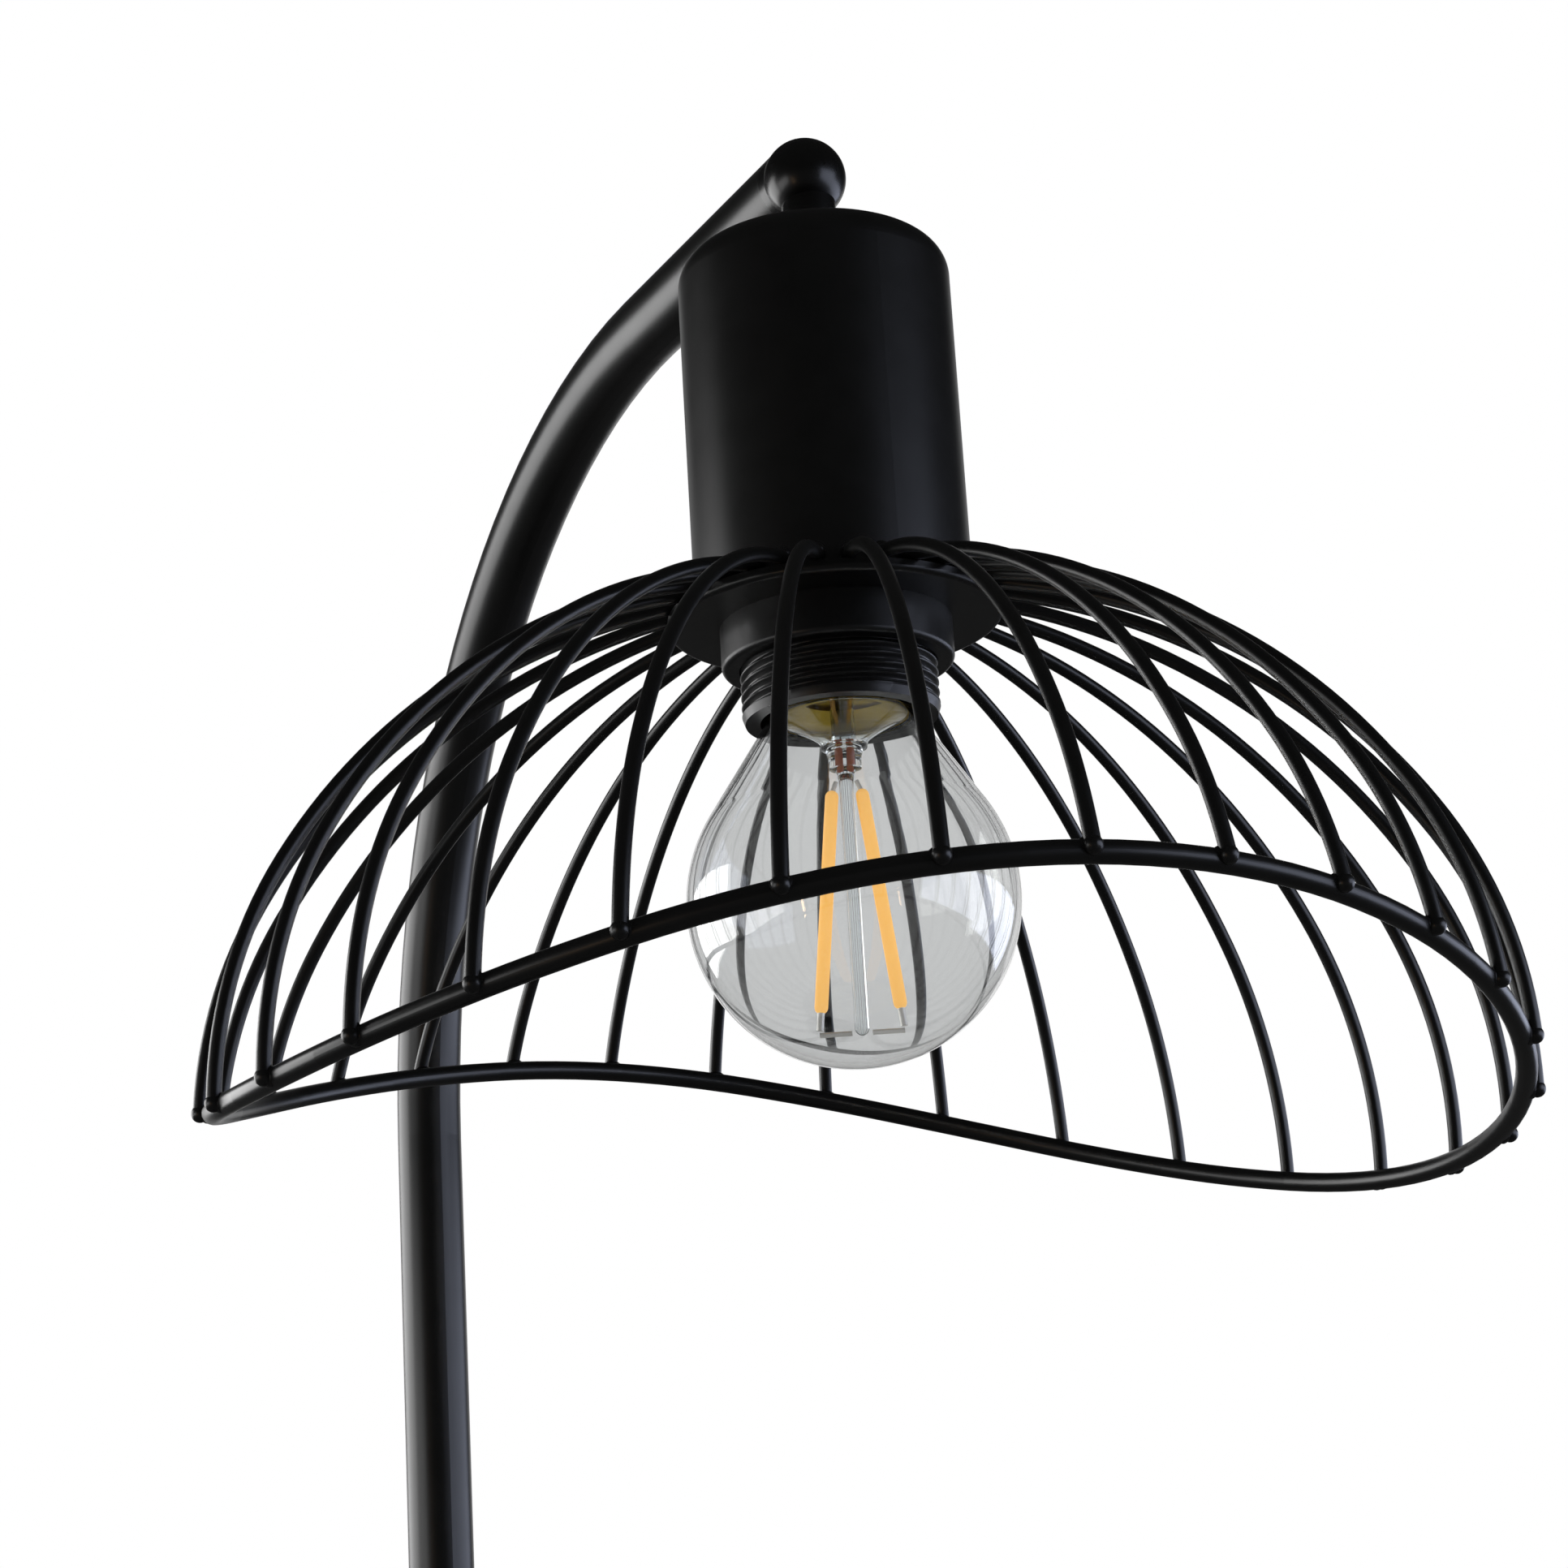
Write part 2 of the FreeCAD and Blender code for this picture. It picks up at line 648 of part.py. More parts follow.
def support_wires():
    """Wires from the stem to both ends of each filament, and the tabs at the lower ends."""
    high = glass_top - stem_flare_length - stem_press_length
    low = glass_top - stem_length + wire_radius
    wires = []
    for side in (-1, 1):
        top, bottom = filament_ends(side)
        along = (bottom - top).normalize()
        out = V(top.x, top.y, 0).normalize()
        tab = bottom + fit_gap * along
        tab_end = tab + tab_length * along
        wires.append(cylinder(tab_radius, tab_length, tab, along))
        for height, end in ((high, top - wire_reach * along), (low, tab_end + wire_reach * along)):
            foot = V(0, 0, height) + (stem_radius + wire_radius + fit_gap) * out
            wires.append(cylinder(wire_radius, (end - foot).Length, foot, end - foot))
    return at_head(Part.makeCompound(wires))


def build():
    """Every node by its name."""
    pieces = [base_plate, base_pad, base_screw, foot_flange, pole_tube, cord_grommet, inner_lead,
              arm_knuckle, hanger_nipple, cup_washer, cup_nut, holder_cup, holder_cap, holder_skirt,
              holder_core, screw_shell, centre_contact, terminal_screws, shade_disc, shade_ring,
              bulb_glass, bulb_cap, cap_insulator, tip_contact, bulb_stem, led_filaments, support_wires]
    nodes = {piece.__name__: piece() for piece in pieces}
    rim_room = rim_wire(rim_radius + weld_gap)
    nodes["shade_rim"] = at_head(rim_wire(rim_radius))
    for i in range(rib_count):
        nodes["shade_rib_%02d" % (i + 1)] = shade_rib(rib_azimuth(i), rim_room)
    return nodes


os.makedirs("parts", exist_ok=True)
for name, shape in build().items():
    shape.exportStep("parts/%s.step" % name)
    print("%-16s valid %s solids %d volume %.1f" % (name, shape.isValid(), len(shape.Solids), shape.Volume))
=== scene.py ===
"""Looks of the table lamp: satin black wire shade on a bent tube, with a clear bulb in a threaded lampholder.

Metres, +Z up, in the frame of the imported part. Sizes in the code are written in millimetres and scaled by MM.
Heights of the head's pieces are measured from the cup's lower edge, on the head's axis.
"""
import json
import math

import bpy
import numpy as np
from mathutils import Matrix, Vector


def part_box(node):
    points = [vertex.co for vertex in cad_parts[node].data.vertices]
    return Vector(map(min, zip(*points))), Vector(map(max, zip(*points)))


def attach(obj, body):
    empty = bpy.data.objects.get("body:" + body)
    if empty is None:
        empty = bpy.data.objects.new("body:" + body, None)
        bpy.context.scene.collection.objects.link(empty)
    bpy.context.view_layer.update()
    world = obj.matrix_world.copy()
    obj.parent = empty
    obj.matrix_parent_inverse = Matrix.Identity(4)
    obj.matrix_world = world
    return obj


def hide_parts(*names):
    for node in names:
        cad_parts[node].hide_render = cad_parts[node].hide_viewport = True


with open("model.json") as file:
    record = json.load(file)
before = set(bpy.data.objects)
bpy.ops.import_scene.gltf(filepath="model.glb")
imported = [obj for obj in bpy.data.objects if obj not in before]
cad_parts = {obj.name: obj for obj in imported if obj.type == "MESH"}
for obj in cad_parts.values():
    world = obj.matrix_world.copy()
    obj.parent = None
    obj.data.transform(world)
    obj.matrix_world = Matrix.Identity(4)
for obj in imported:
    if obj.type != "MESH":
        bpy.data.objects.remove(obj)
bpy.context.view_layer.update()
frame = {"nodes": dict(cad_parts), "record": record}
nodes = frame["nodes"]

MM = 0.001
TURN = 2 * math.pi

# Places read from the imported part
cup_low, cup_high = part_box("holder_cup")
head = Vector(((cup_low.x + cup_high.x) / 2, (cup_low.y + cup_high.y) / 2, cup_low.z))
glass_low, glass_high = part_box("bulb_glass")
skirt_low, skirt_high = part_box("holder_skirt")
cap_low, cap_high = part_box("bulb_cap")
stem_low, stem_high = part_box("bulb_stem")


def height_of(corner):
    """Height of a point above the cup's lower edge, in millimetres."""
    return (corner.z - head.z) / MM


# Lampholder's skirt
skirt_mouth = height_of(skirt_low)
flange_top = height_of(skirt_high)
thread_pitch = 1.45
thread_depth = 0.75
thread_radius = 14.0
thread_end = -1.0           # the thread runs out under the disc
skirt_bore = 11.5
mouth_radius = 13.6
mouth_chamfer = 1.2
flange_radius = (skirt_high.x - skirt_low.x) / 2 / MM

# Bulb's cap
cap_bottom = height_of(cap_low)
cap_top = height_of(cap_high)
flare_radius = (cap_high.x - cap_low.x) / 2 / MM
flare_height = 2.6
cap_pitch = 2.82
cap_depth = 0.7
cap_radius = 6.9
cap_wall = 0.4
cap_hole = 4.3
cap_edge = 0.4
cap_thread_gap = 1.5        # thread's end to the cap's top

# Bulb's glass
glass_radius = (glass_high.x - glass_low.x) / 2 / MM
glass_top = height_of(glass_high)
glass_middle = height_of(glass_low) + glass_radius
glass_wall = 0.8
neck_angle = math.radians(33.0)

# Glass stem inside the bulb
stem_bottom = height_of(stem_low)
stem_top = height_of(stem_high)
stem_wall = 0.4
stem_flare = 9.4            # radius at the seal to the glass
stem_barrel = 3.3           # radius of the straight part under the flare
stem_flare_drop = 3.0
press_top = -19.6
press_bottom = -22.6
press_radius = 2.3
press_edge = 0.5
press_fillet = 2.0
rod_radius = 1.0
exhaust_radius = 1.7

# Filaments and the wires in the press
filament_azimuth = math.radians(61.7)
filament_radius = 0.95
filament_top = (2.15, -26.2)        # distance from the axis, and height
filament_bottom = (5.4, -56.0)
seal_radius = 0.38
seal_offset = 0.55
painted_filament_glow = 0.75                # emission, a painted glow on filaments that are not lit

# Welds of the wire shade
end_weld_radius = 1.16
end_weld_length = 1.5
rib_end_depth = 0.6         # points this near to a rib's innermost one belong to its end
rib_foot_depth = 0.05       # points this near to a rib's lowest one belong to its foot
bead_radius = 1.2           # bead at a rib's lower end
rim_weld_half_sizes = (1.75, 1.05, 1.35)    # along the rim, outwards, up
rim_weld_inset = 0.95       # from the bead towards the rim

# Steps of the meshes
around = 192                # round a turned piece
round_steps = 20            # round a small bar
cap_steps = 6               # over a small bar's end
thread_steps = 110          # along a thread
ball_steps = 110            # along the glass's arc
fillet_steps = 8
flare_steps = 24
exhaust_steps = 10
sharp_angle = math.radians(40)

# Noises of the materials
fine_per_grain = 4          # fine grains along one coarse grain
drift_detail = 3.0
fine_detail = 2.0
blown_wave = 12.0           # length of the waves in glass
blown_detail = 1.0
glass_ior = 1.5


def linear(code):
    """Linear colour of an sRGB hex code."""
    parts = [int(code[i:i + 2], 16) / 255 for i in (1, 3, 5)]
    return [c / 12.92 if c <= 0.04045 else ((c + 0.055) / 1.055) ** 2.4 for c in parts] + [1.0]


def add(tree, kind, settings=None, links=None):
    """Adds a node, gives its sockets and properties the settings, and links sockets from other nodes."""
    node = tree.nodes.new(kind)
    for key, value in (settings or {}).items():
        if isinstance(key, int) or key in node.inputs:
            node.inputs[key].default_value = value
        else:
            setattr(node, key, value)
    for key, source in (links or {}).items():
        tree.links.new(source, node.inputs[key])
    return node


def new_material(name):
    """An empty material and its node tree."""
    material = bpy.data.materials.new(name)
    material.use_nodes = True
    material.node_tree.nodes.clear()
    return material, material.node_tree


def mirror_rays(tree):
    """Socket that is 1 for a reflected ray only: a ray through glass counts as glossy too and is taken off."""
    path = add(tree, "ShaderNodeLightPath")
    mirrored = add(tree, "ShaderNodeMath", {"operation": "SUBTRACT", "use_clamp": True},
                   {0: path.outputs["Is Glossy Ray"], 1: path.outputs["Is Transmission Ray"]})
    return mirrored.outputs[0]


# Materials

def finish(name, colours, roughness, grain, relief, metallic=0.0):
    """Surface whose colour and gloss drift between two values over a noise with grains of a size in mm.

    A finer noise lifts the surface by relief in millimetres.
    """
    material, tree = new_material(name)
    place = add(tree, "ShaderNodeTexCoord")
    drift = add(tree, "ShaderNodeTexNoise", {"Scale": 1 / (grain * MM), "Detail": drift_detail},
                {"Vector": place.outputs["Object"]})
    fine = add(tree, "ShaderNodeTexNoise", {"Scale": fine_per_grain / (grain * MM), "Detail": fine_detail},
               {"Vector": place.outputs["Object"]})
    colour = add(tree, "ShaderNodeMix", {"data_type": "RGBA", 6: linear(colours[0]), 7: linear(colours[1])},
                 {0: drift.outputs["Fac"]})
    gloss = add(tree, "ShaderNodeMapRange", {"To Min": roughness[0], "To Max": roughness[1]},
                {"Value": drift.outputs["Fac"]})
    bump = add(tree, "ShaderNodeBump", {"Strength": 1.0, "Distance": relief * MM},
               {"Height": fine.outputs["Fac"]})
    shader = add(tree, "ShaderNodeBsdfPrincipled", {"Metallic": metallic},
                 {"Base Color": colour.outputs[2], "Roughness": gloss.outputs["Result"],
                  "Normal": bump.outputs["Normal"]})
    add(tree, "ShaderNodeOutputMaterial", {}, {"Surface": shader.outputs["BSDF"]})
    return material


def glass(name, colour, wave):
    """Clear glass: it bends what lies behind, mirrors the studio, and has slow waves of a height in mm."""
    material, tree = new_material(name)
    place = add(tree, "ShaderNodeTexCoord")
    slow = add(tree, "ShaderNodeTexNoise", {"Scale": 1 / (blown_wave * MM), "Detail": blown_detail},
               {"Vector": place.outputs["Object"]})
    bump = add(tree, "ShaderNodeBump", {"Strength": 1.0, "Distance": wave * MM},
               {"Height": slow.outputs["Fac"]})
    shader = add(tree, "ShaderNodeBsdfPrincipled",
                 {"Base Color": linear(colour), "Roughness": 0.0, "IOR": glass_ior,
                  "Transmission Weight": 1.0},
                 {"Normal": bump.outputs["Normal"]})
    add(tree, "ShaderNodeOutputMaterial", {}, {"Surface": shader.outputs["BSDF"]})
    return material


# Powder coat on steel: deep black, satin, with a film that is never quite even
powder_coat = finish("steel_powder_coated", ("#030303", "#070707"), (0.30, 0.36), 5.0, 0.0020)
# Sprayed gloss on turned steel: the same black with small sharp highlights
gloss_coat = finish("steel_gloss_sprayed", ("#030303", "#060606"), (0.24, 0.30), 5.0, 0.0010)
# Phenolic moulding: black, with a slightly dull skin from the mould
moulding = finish("phenolic_moulded", ("#050505", "#0a0a0b"), (0.30, 0.42), 0.9, 0.0020)
# Fired ceramic: off-white and matte, with a faint speckle
ceramic = finish("ceramic_fired", ("#d8d4c8", "#e2ded4"), (0.45, 0.60), 0.6, 0.0040)
# Zinc plating: pale grey metal with a soft cloudy gloss
zinc_steel = finish("steel_zinc_plated", ("#b4b7bb", "#c6c8ca"), (0.28, 0.42), 1.5, 0.0015, 1.0)
# Drawn brass: warm yellow metal, a little dulled by handling
brass = finish("brass_drawn", ("#d0ae3c", "#e0c258"), (0.42, 0.56), 1.2, 0.0020, 1.0)
# Nickel plating on brass: warm bright grey
nickel = finish("brass_nickel_plated", ("#c2bdae", "#d0cbbe"), (0.20, 0.30), 1.4, 0.0012, 1.0)
# Dipped solder: dull grey with a wrinkled skin
solder = finish("solder_dipped", ("#9da0a3", "#b2b4b6"), (0.35, 0.50), 0.8, 0.0100, 1.0)
# Pressed black glass: shiny, nearly even
cap_glass = finish("black_glass_pressed", ("#121214", "#171719"), (0.10, 0.18), 1.5, 0.0010)
# Cast silicone with phosphor: orange yellow, slightly grainy. Its emission is a painted glow, since the
# filament is not lit, and makes up for the dimming by the glass
phosphor = finish("silicone_phosphor_cast", ("#ffae3c", "#ffc060"), (0.40, 0.55), 0.5, 0.0060)
phosphor_shader = phosphor.node_tree.nodes["Principled BSDF"]
# Painted glow: the unlit filament is given an emission so that it looks lit
phosphor_shader.inputs["Emission Color"].default_value = linear("#ffc66c")
phosphor_shader.inputs["Emission Strength"].default_value = painted_filament_glow
# Drawn nickel wire: plain bright grey
wire_metal = finish("nickel_drawn_wire", ("#d6d4d0", "#e4e2de"), (0.40, 0.52), 0.6, 0.0010, 1.0)
# Copper-clad wire that the stem is pressed round: its oxide looks red through the glass
seal_copper = finish("copper_oxidised_wire", ("#c2603a", "#d97a4c"), (0.35, 0.50), 0.4, 0.0020)
# Die-cut foam: black, matte and open
foam = finish("foam_die_cut", ("#161617", "#242425"), (0.85, 0.95), 0.4, 0.0800)
# Extruded PVC: black with a soft sheen
jacket = finish("pvc_extruded", ("#101010", "#181818"), (0.40, 0.55), 1.0, 0.0030)
# Blown glass: clear, faintly grey where it is seen edge on
clear_glass = glass("glass_blown", "#e1e2e2", 0.010)
# Drawn glass of the stem: clear with a cold tint
stem_glass = glass("glass_drawn_tube", "#f3f7f8", 0.004)

slot_materials = {
    "black_powder_coat": powder_coat,
    "black_gloss_coat": gloss_coat,
    "black_moulding": moulding,
    "core_moulding": ceramic,
    "zinc_steel": zinc_steel,
    "contact_brass": brass,
    "nickel_cap": nickel,
    "solder_tip": solder,
    "cap_glass": cap_glass,
    "clear_glass": clear_glass,
    "phosphor_filament": phosphor,
    "nickel_wire": wire_metal,
    "foam_pad": foam,
    "lead_jacket": jacket,
}
for entry in frame["record"]["subparts"]:
    mesh = nodes[entry["node"]].data
    mesh.materials.clear()
    mesh.materials.append(slot_materials[entry["material_slot"]])


# Shapes

def put_in_scene(name, points, faces, materials, picks=None):
    """Mesh object at the origin from points in metres, smooth but for corners over the sharp angle."""
    mesh = bpy.data.meshes.new(name)
    mesh.from_pydata(points, [], faces)
    for material in materials:
        mesh.materials.append(material)
    if picks is not None:
        mesh.polygons.foreach_set("material_index", picks)
    mesh.shade_smooth()
    mesh.set_sharp_from_angle(angle=sharp_angle)
    piece = bpy.data.objects.new(name, mesh)
    bpy.context.scene.collection.objects.link(piece)
    return piece


def grid_faces(rows, columns, closed):
    """Vertex numbers of a grid's faces, as an array of quads and one of triangles.

    Columns always close round the axis. A closed grid also joins its last row to its first. An open one ends
    in a single point at each end, so its first and last rows are one vertex each, and triangles close it.
    """
    if closed:
        index = np.arange(rows * columns).reshape(rows, columns)
        below, above = index, np.roll(index, -1, axis=0)
        fans = np.zeros((0, 3), int)
    else:
        index = np.arange((rows - 2) * columns).reshape(rows - 2, columns) + 1
        below, above = index[:-1], index[1:]
        first = np.zeros(columns, int)
        last = np.full(columns, (rows - 2) * columns + 1)
        fans = np.concatenate([np.stack([first, np.roll(index[0], -1), index[0]], axis=-1),
                               np.stack([index[-1], np.roll(index[-1], -1), last], axis=-1)])
    quads = np.stack([below, np.roll(below, -1, axis=1), np.roll(above, -1, axis=1), above], axis=-1)
    return quads.reshape(-1, 4), fans


def turned(name, profile, materials, closed=True, pitch=1.0, depth=0.0, picks=None):
    """Turned piece on the head's axis, with a helical thread where the profile asks for one.

    The profile is a row of (radius, height, thread) in millimetres, thread being how much of the depth is cut
    there. Radius at angle a and height z is radius - depth * thread * (1 + cos(2 pi z / pitch - a)) / 2.
    picks gives the material of each row of a closed profile.
    """
    loop = np.array(profile, float)
    angle = np.linspace(0, TURN, around, endpoint=False)[None, :]
    height = loop[:, 1][:, None]
    groove = (1 + np.cos(TURN * height / pitch - angle)) / 2
    radius = loop[:, 0][:, None] - depth * loop[:, 2][:, None] * groove
    points = np.stack([head.x + MM * radius * np.cos(angle), head.y + MM * radius * np.sin(angle),
                       head.z + MM * (height + 0 * angle)], axis=-1)
    flat = points.reshape(-1, 3)
    if not closed:
        flat = np.concatenate([points[0, :1], points[1:-1].reshape(-1, 3), points[-1, :1]])
    quads, fans = grid_faces(len(loop), around, closed)
    face_picks = None if picks is None else np.repeat(np.array(picks), around)
    return put_in_scene(name, flat, quads.tolist() + fans.tolist(), materials, face_picks)


def rise(low, high, radius, thread, steps):
    """Profile points along a wall of one radius, threaded between its ends."""
    heights = np.linspace(low, high, steps + 1)
    return [(radius, z, thread if 0 < i < steps else 0.0) for i, z in enumerate(heights)]


def arc(middle, radius, start, stop, steps):
    """Profile points on an arc about a point of the axis, from one elevation to another."""
    angles = np.linspace(start, stop, steps)
    return [(radius * math.cos(a), middle + radius * math.sin(a), 0.0) for a in angles]


def sweep(start, corner, end, steps):
    """Profile points on a parabola from a start to an end, tangent to the lines to its corner."""
    t = np.linspace(0, 1, steps)[:, None]
    line = (1 - t) ** 2 * np.array(start) + 2 * t * (1 - t) * np.array(corner) + t ** 2 * np.array(end)
    return [(r, z, 0.0) for r, z in line]


def many(name, points, material):
    """One mesh of many open grids of the same size, each ending in a single point at both ends."""
    count, rows = points.shape[:2]
    between = points[:, 1:-1].reshape(count, -1, 3)
    flat = np.concatenate([points[:, 0, :1], between, points[:, -1, :1]], axis=1)
    quads, fans = grid_faces(rows, round_steps, False)
    faces = []
    for offset in np.arange(count) * flat.shape[1]:
        faces += (quads + offset).tolist() + (fans + offset).tolist()
    return put_in_scene(name, flat.reshape(-1, 3), faces, [material])


def bars(name, starts, ends, radius, material):
    """Round bars between pairs of points in metres, with half-ball ends past the points, all in one mesh.

    A point of a bar at angle a round it is centre + r * (cos(a) * side + sin(a) * up), where r is radius on
    the bar and radius * sin(b) at radius * cos(b) past an end, for b from a right angle to 0.
    """
    starts, ends = np.array(starts), np.array(ends)
    along = (ends - starts) / np.linalg.norm(ends - starts, axis=1, keepdims=True)
    least = np.eye(3)[np.argmin(np.abs(along), axis=1)]
    side = np.cross(least, along)
    side /= np.linalg.norm(side, axis=1, keepdims=True)
    up = np.cross(along, side)
    b = np.linspace(0, math.pi / 2, cap_steps)
    reach = np.concatenate([-radius * np.cos(b), radius * np.cos(b[::-1])])
    width = np.concatenate([radius * np.sin(b), radius * np.sin(b[::-1])])
    at_end = np.arange(2 * cap_steps) >= cap_steps
    base = np.where(at_end[None, :, None], ends[:, None, :], starts[:, None, :])
    centre = base + MM * reach[None, :, None] * along[:, None, :]
    a = np.linspace(0, TURN, round_steps, endpoint=False)
    ring = np.cos(a)[None, :, None] * side[:, None, :] + np.sin(a)[None, :, None] * up[:, None, :]
    points = centre[:, :, None, :] + MM * width[None, :, None, None] * ring[:, None, :, :]
    return many(name, points, material)


def beads(name, middles, axes, material):
    """Ellipsoids with given half axes, as vectors in metres, all in one mesh.

    A point is middle + sin(b) * (cos(a) * first axis + sin(a) * second axis) - cos(b) * third axis, for a
    round the third axis and b from one end of it to the other.
    """
    first, second, third = [axis[:, None, None, :] for axis in axes]
    a = np.linspace(0, TURN, round_steps, endpoint=False)[None, None, :, None]
    b = np.linspace(0, math.pi, 2 * cap_steps)[None, :, None, None]
    ring = np.cos(a) * first + np.sin(a) * second
    points = middles[:, None, None, :] + np.sin(b) * ring - np.cos(b) * third
    return many(name, points, material)


# Lampholder's threaded skirt
skirt_profile = [(skirt_bore, skirt_mouth, 0.0), (mouth_radius, skirt_mouth, 0.0)]
skirt_profile += rise(skirt_mouth + mouth_chamfer, thread_end, thread_radius, 1.0, thread_steps)
skirt_profile += [(thread_radius, 0.0, 0.0), (flange_radius, 0.0, 0.0), (flange_radius, flange_top, 0.0),
                  (skirt_bore, flange_top, 0.0)]
skirt = turned("skirt_thread", skirt_profile, [moulding], pitch=thread_pitch, depth=thread_depth)
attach(skirt, "lamp")
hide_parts("holder_skirt")

# Bulb's screw cap: nickel outside, bare brass inside
flare_top = cap_bottom + flare_height
thread_top = cap_top - cap_thread_gap
cap_outside = [(flare_radius, cap_bottom, 0.0)]
cap_outside += rise(flare_top, thread_top, cap_radius, 1.0, thread_steps)
cap_outside += [(cap_radius, cap_top - cap_edge, 0.0), (cap_radius - cap_edge, cap_top, 0.0),
                (cap_hole, cap_top, 0.0)]
cap_inside = [(cap_hole, cap_top - cap_wall, 0.0)]
cap_inside += rise(thread_top, flare_top, cap_radius - cap_wall, 1.0, thread_steps)
cap_inside += [(flare_radius - cap_wall, cap_bottom, 0.0)]
cap = turned("cap_thread", cap_outside + cap_inside, [nickel, brass], pitch=cap_pitch, depth=cap_depth,
             picks=[0] * len(cap_outside) + [1] * len(cap_inside))
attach(cap, "bulb")
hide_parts("bulb_cap")


# Bulb's glass drop

def neck_radius(ball_radius):
    """Radius at the cap of the cone that is tangent to a ball of this radius."""
    return (ball_radius - (glass_top - glass_middle) * math.sin(neck_angle)) / math.cos(neck_angle)


inner_radius = glass_radius - glass_wall
bottom_angle = -math.pi / 2
drop_profile = arc(glass_middle, glass_radius, bottom_angle, neck_angle, ball_steps)
drop_profile += [(neck_radius(glass_radius), glass_top, 0.0), (neck_radius(inner_radius), glass_top, 0.0)]
drop_profile += arc(glass_middle, inner_radius, neck_angle, bottom_angle, ball_steps)
drop = turned("glass_drop", drop_profile, [clear_glass], closed=False)
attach(drop, "bulb")
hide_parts("bulb_glass")

# Stem: a rod, the press round the wires, a thin flare up to the neck, and the exhaust tube inside the flare
flare_foot = glass_top - stem_flare_drop
barrel_foot = press_top + press_edge
barrel_bore = stem_barrel - stem_wall
stem_profile = arc(stem_bottom + rod_radius, rod_radius, bottom_angle, 0.0, fillet_steps)
stem_profile += sweep((rod_radius, press_bottom - press_fillet), (rod_radius, press_bottom),
                      (press_radius, press_bottom), fillet_steps)
stem_profile += sweep((press_radius, press_bottom + press_edge), (press_radius, press_top),
                      (stem_barrel, press_top), fillet_steps)
stem_profile += sweep((stem_barrel, barrel_foot), (stem_barrel, flare_foot),
                      (stem_flare, glass_top), flare_steps)
stem_profile += sweep((stem_flare - stem_wall, glass_top), (barrel_bore, flare_foot),
                      (barrel_bore, barrel_foot), flare_steps)
stem_profile += rise(barrel_foot, stem_top, exhaust_radius, 0.0, exhaust_steps)
stem_profile += rise(stem_top, barrel_foot, exhaust_radius - stem_wall, 0.0, exhaust_steps)
stem_profile += [(0.0, barrel_foot, 0.0)]
stem = turned("stem_tube", stem_profile, [stem_glass], closed=False)
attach(stem, "bulb")
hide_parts("bulb_stem")


# Filaments, and the copper wires in the press

def beside_axis(side, distance, height):
    """Point in metres on the filaments' plane, a distance to one side of the head's axis."""
    return (head.x + MM * side * distance * math.cos(filament_azimuth),
            head.y + MM * side * distance * math.sin(filament_azimuth), head.z + MM * height)


sides = (-1, 1)
filaments = bars("filament_bars", [beside_axis(side, *filament_top) for side in sides],
                 [beside_axis(side, *filament_bottom) for side in sides], filament_radius, phosphor)
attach(filaments, "bulb")
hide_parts("led_filaments")

seals = bars("seal_wires", [beside_axis(side, seal_offset, press_top) for side in sides],
             [beside_axis(side, seal_offset, press_bottom) for side in sides], seal_radius, seal_copper)
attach(seals, "bulb")


# Welds of the wire shade

def rib_ends():
    """Middle of each rib's inner end, and the middle of the bead at its lower end.

    The inner end is the middle of the box of the points nearest to the head's axis. The bead's middle lies
    its own radius above the mean of the rib's lowest points.
    """
    starts = []
    bead_middles = []
    for entry in frame["record"]["subparts"]:
        if not entry["node"].startswith("shade_rib_"):
            continue
        mesh = nodes[entry["node"]].data
        points = np.empty(3 * len(mesh.vertices))
        mesh.vertices.foreach_get("co", points)
        points = points.reshape(-1, 3)
        reach = np.hypot(points[:, 0] - head.x, points[:, 1] - head.y)
        inner = points[reach < reach.min() + rib_end_depth * MM]
        foot = points[points[:, 2] < points[:, 2].min() + rib_foot_depth * MM]
        starts.append((inner.min(axis=0) + inner.max(axis=0)) / 2)
        bead_middles.append(foot.mean(axis=0) + np.array([0, 0, bead_radius * MM]))
    return np.array(starts), np.array(bead_middles)


rib_starts, rib_beads = rib_ends()
outward = rib_starts - np.array(head)
outward[:, 2] = 0
outward /= np.linalg.norm(outward, axis=1, keepdims=True)
weld_ends = rib_starts + end_weld_length * MM * outward
end_welds = bars("end_welds", rib_starts, weld_ends, end_weld_radius, powder_coat)
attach(end_welds, "lamp")

rim_way = np.roll(rib_beads, -1, axis=0) - np.roll(rib_beads, 1, axis=0)
rim_way /= np.linalg.norm(rim_way, axis=1, keepdims=True)
seam = rib_beads - rim_weld_inset * MM * outward
rim_out = outward - rim_way * np.sum(outward * rim_way, axis=1, keepdims=True)
rim_out /= np.linalg.norm(rim_out, axis=1, keepdims=True)
rim_up = np.cross(rim_way, rim_out)
weld_axes = [size * MM * way for size, way in zip(rim_weld_half_sizes, (rim_way, rim_out, rim_up))]
rim_welds = beads("rim_welds", seam, weld_axes, powder_coat)
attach(rim_welds, "lamp")

# Floor
floor_reach = 40.0
floor_in_mirrors = 0.06
floor_mesh = bpy.data.meshes.new("floor")
corners = np.array([(-1, -1, 0), (1, -1, 0), (1, 1, 0), (-1, 1, 0)]) * floor_reach
floor_mesh.from_pydata(corners, [], np.array([[0, 1, 2, 3]]))
floor = bpy.data.objects.new("floor", floor_mesh)
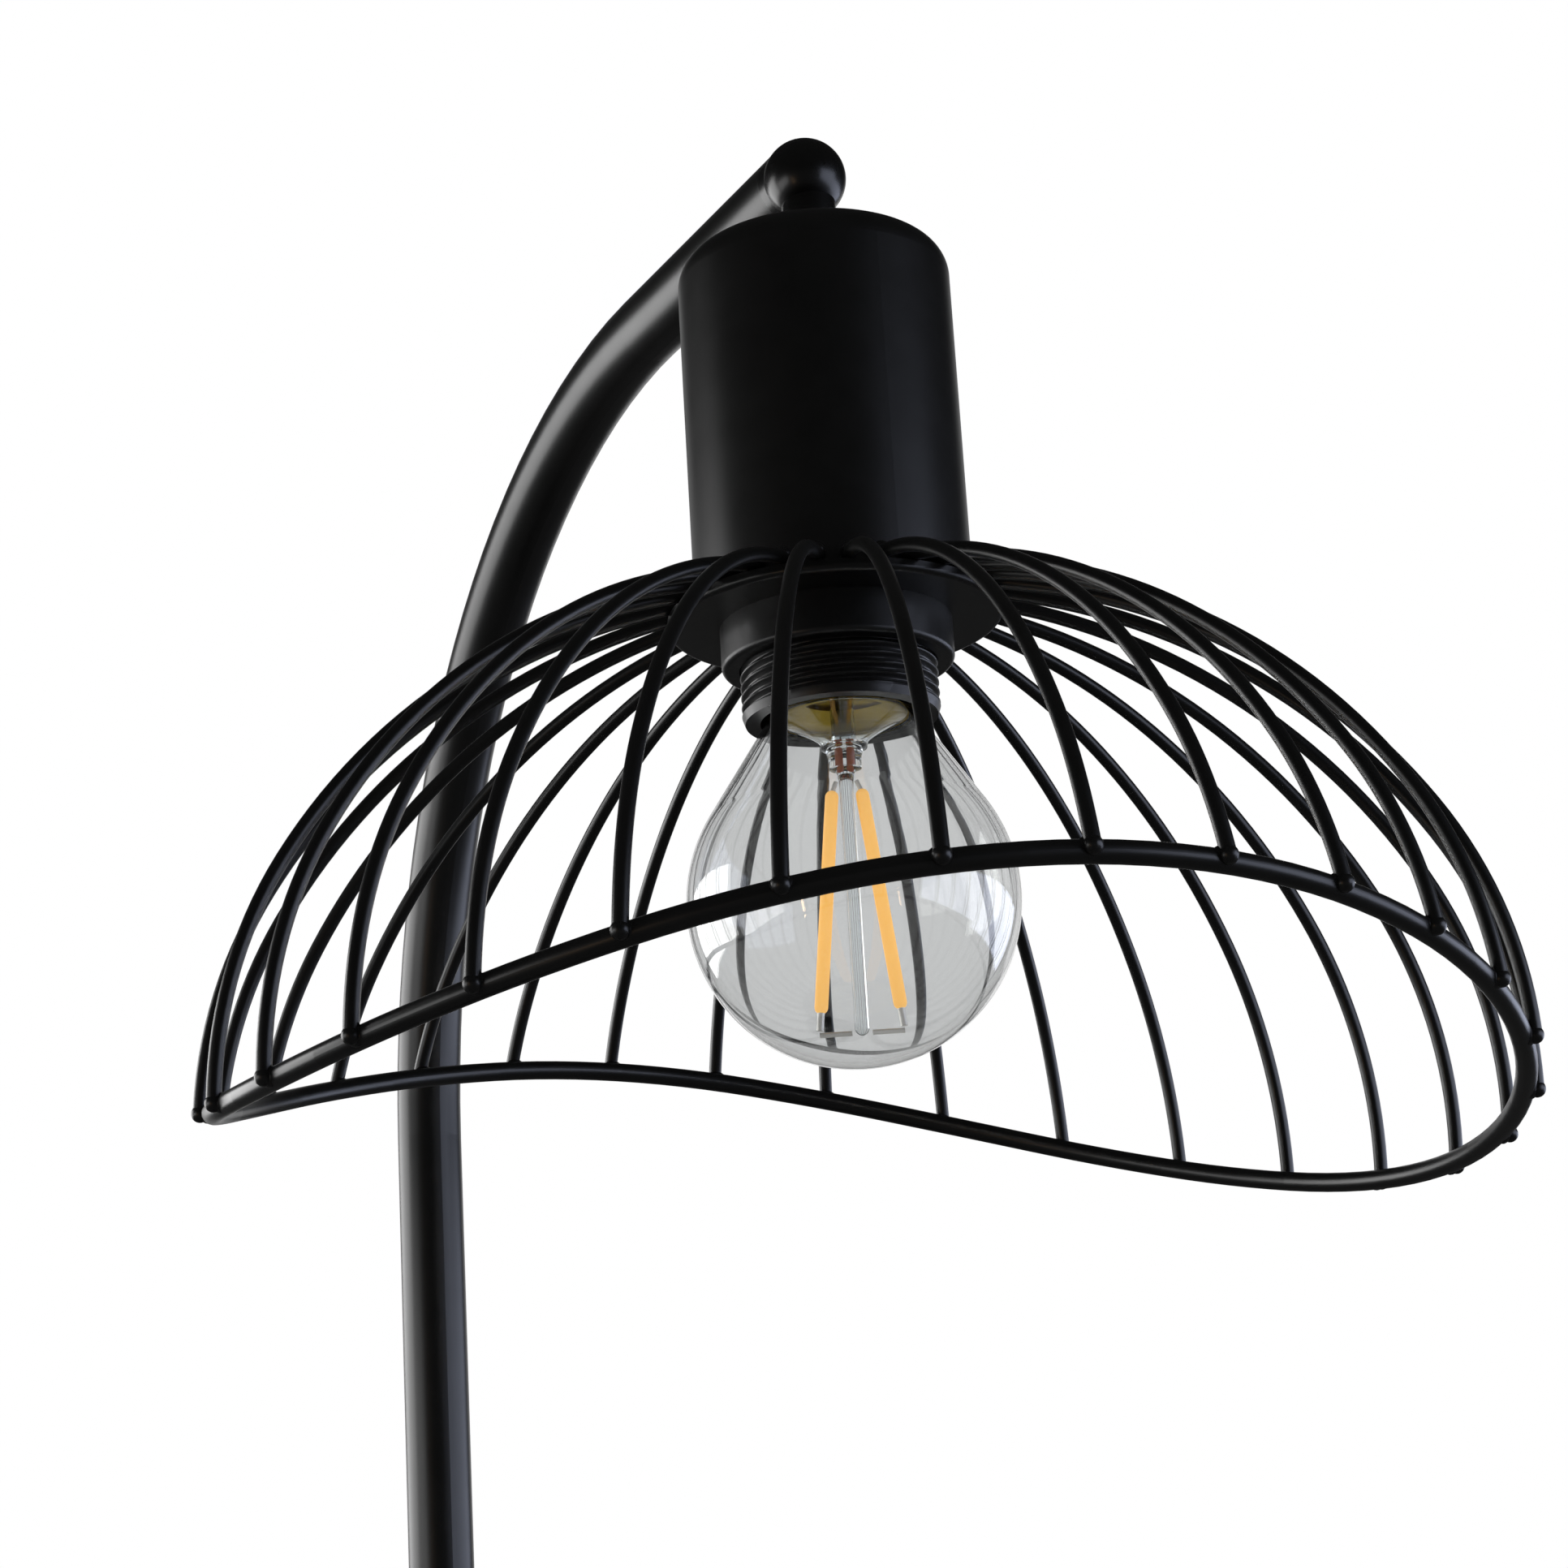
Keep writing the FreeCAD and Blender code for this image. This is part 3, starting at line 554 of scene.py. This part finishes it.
# Studio paper: pale and matte. Reflections see it dim, which keeps the black coat as dark as in the photo
paper = finish("studio_paper_matte", ("#f2f2f1", "#f5f5f4"), (0.75, 0.85), 3.0, 0.01)
paper_tree = paper.node_tree
paper_dim = add(paper_tree, "ShaderNodeEmission", {"Color": linear("#ffffff"), "Strength": floor_in_mirrors})
paper_seen = add(paper_tree, "ShaderNodeMixShader", {},
                 {0: mirror_rays(paper_tree), 1: paper_tree.nodes["Principled BSDF"].outputs["BSDF"],
                  2: paper_dim.outputs["Emission"]})
paper_tree.links.new(paper_seen.outputs["Shader"], paper_tree.nodes["Material Output"].inputs["Surface"])
floor_mesh.materials.append(paper)
bpy.context.scene.collection.objects.link(floor)

# Camera at the photographer's place, below the shade and looking up
camera_from_head = Vector((385.8, -206.41, -148.63)) * MM
camera_yaw = math.radians(62.99)
camera_pitch = math.radians(15.91)
camera_roll = math.radians(3.44)
lens_length = 74.71
sensor_width = 36.0
nearest_seen = 0.01
lens_data = bpy.data.cameras.new("camera")
lens_data.lens = lens_length
lens_data.sensor_width = sensor_width
lens_data.clip_start = nearest_seen
camera = bpy.data.objects.new("camera", lens_data)
turn = (Matrix.Rotation(camera_yaw, 4, "Z") @ Matrix.Rotation(camera_pitch, 4, "X")
        @ Matrix.Rotation(camera_roll, 4, "Y") @ Matrix.Rotation(math.pi / 2, 4, "X"))
camera.matrix_world = Matrix.Translation(head + camera_from_head) @ turn
bpy.context.scene.collection.objects.link(camera)
bpy.context.scene.camera = camera

# Studio: a high and a low soft box on each side, and a thin warm lamp in front
to_camera = Vector((math.sin(camera_yaw), -math.cos(camera_yaw), 0))
to_right = Vector((math.cos(camera_yaw), math.sin(camera_yaw), 0))
upward = Vector((0, 0, 1))


def soft_box(name, place, size, radiance, colour):
    """Upright area lamp that faces across the camera's view and shows only in reflections.

    The place is (towards the camera, to the right, up) from the head, and the size (width, height), in m.
    """
    data = bpy.data.lights.new(name, "AREA")
    data.shape = "RECTANGLE"
    data.size, data.size_y = size
    data.energy = radiance * math.pi * size[0] * size[1]
    data.color = linear(colour)[:3]
    lamp = bpy.data.objects.new(name, data)
    beside = place[0] * to_camera + place[1] * to_right
    facing = (-place[1] * to_right).to_track_quat("-Z", "Y").to_matrix().to_4x4()
    lamp.matrix_world = Matrix.Translation(head + beside + place[2] * upward) @ facing
    lamp.visible_camera = False
    lamp.visible_diffuse = False
    bpy.context.scene.collection.objects.link(lamp)


# Name, place, size, radiance and colour of each lamp
soft_boxes = [
    ("soft_box_left", (-0.35, -0.55, 0.01), (0.64, 0.34), 4.2, "#ffffff"),
    ("low_box_left", (0.235, -0.55, -0.095), (0.43, 0.21), 2.2, "#ffffff"),
    ("soft_box_right", (0.275, 0.55, 0.00), (0.55, 0.34), 2.4, "#dfe7ff"),
    ("low_box_right", (-0.325, 0.55, -0.07), (0.65, 0.26), 2.6, "#dfe7ff"),
    ("warm_strip", (0.56, -0.41, -0.20), (0.02, 0.16), 16.0, "#ffcf9c"),
]
for settings in soft_boxes:
    soft_box(*settings)

# World: white, but a reflection sees it white only straight behind the lamp, and nearly black elsewhere
dark_side = 0.01
backdrop_start = 0.74       # cosine from the view's direction at which a reflection sees the backdrop
world = bpy.data.worlds.new("studio")
bpy.context.scene.world = world
world.use_nodes = True
tree = world.node_tree
tree.nodes.clear()
place = add(tree, "ShaderNodeTexCoord")
facing = add(tree, "ShaderNodeVectorMath", {"operation": "DOT_PRODUCT", 1: -to_camera},
             {0: place.outputs["Generated"]})
backdrop = add(tree, "ShaderNodeMapRange",
               {"From Min": backdrop_start, "To Min": dark_side, "interpolation_type": "SMOOTHSTEP"},
               {"Value": facing.outputs["Value"]})
level = add(tree, "ShaderNodeMix", {"data_type": "FLOAT", 2: 1.0},
            {0: mirror_rays(tree), 3: backdrop.outputs["Result"]})
sky = add(tree, "ShaderNodeBackground", {"Color": linear("#ffffff")}, {"Strength": level.outputs[0]})
add(tree, "ShaderNodeOutputWorld", {}, {"Surface": sky.outputs["Background"]})

bpy.context.scene.view_settings.view_transform = "Standard"
